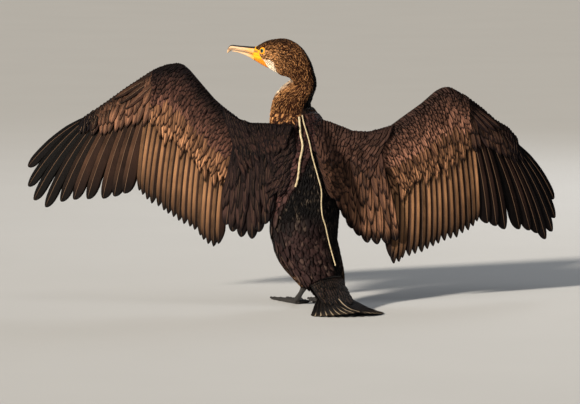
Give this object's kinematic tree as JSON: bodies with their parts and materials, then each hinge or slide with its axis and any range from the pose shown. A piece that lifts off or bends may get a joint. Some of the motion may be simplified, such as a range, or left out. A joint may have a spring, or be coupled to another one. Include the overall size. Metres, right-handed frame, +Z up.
{
  "type": "cormorant",
  "caption": "Great cormorant standing with both wings spread to dry, head turned to its left, two strands of twine lying on its back; still model, life size.",
  "frame": {"origin": "bottom centre of the bird's box, at the level of its soles", "axes": "+Z up; the bird's back faces -Y; its left wing reaches to -X"},
  "size_m": [0.9598, 0.4062, 0.4724],
  "materials": {
    "body": "glossy black contour feathers",
    "neck": "dark brown-black short feathers",
    "head": "dark brown feathers, white throat, yellow face skin",
    "bill": "horn, dark ridge",
    "eye": "wet, teal iris",
    "wing": "bronze feathers with black edges",
    "tail": "worn black feathers",
    "leg": "short dark feathers",
    "foot": "black scaly skin",
    "twine": "straw-coloured fibre"
  },
  "bodies": {
    "root": {"torso": "body", "neck_lower": "neck", "neck_upper": "neck", "head": "head", "bill_upper": "bill", "bill_lower": "bill", "eye_left": "eye", "eye_right": "eye", "wing_left_shoulder": "wing", "wing_left_forearm": "wing", "wing_left_hand": "wing", "wing_right_shoulder": "wing", "wing_right_forearm": "wing", "wing_right_hand": "wing", "tail": "tail", "thigh_left": "leg", "thigh_right": "leg", "tarsus_left": "foot", "tarsus_right": "foot", "foot_left": "foot", "foot_right": "foot", "twine_short": "twine", "twine_long": "twine"}
  },
  "joints": []
}
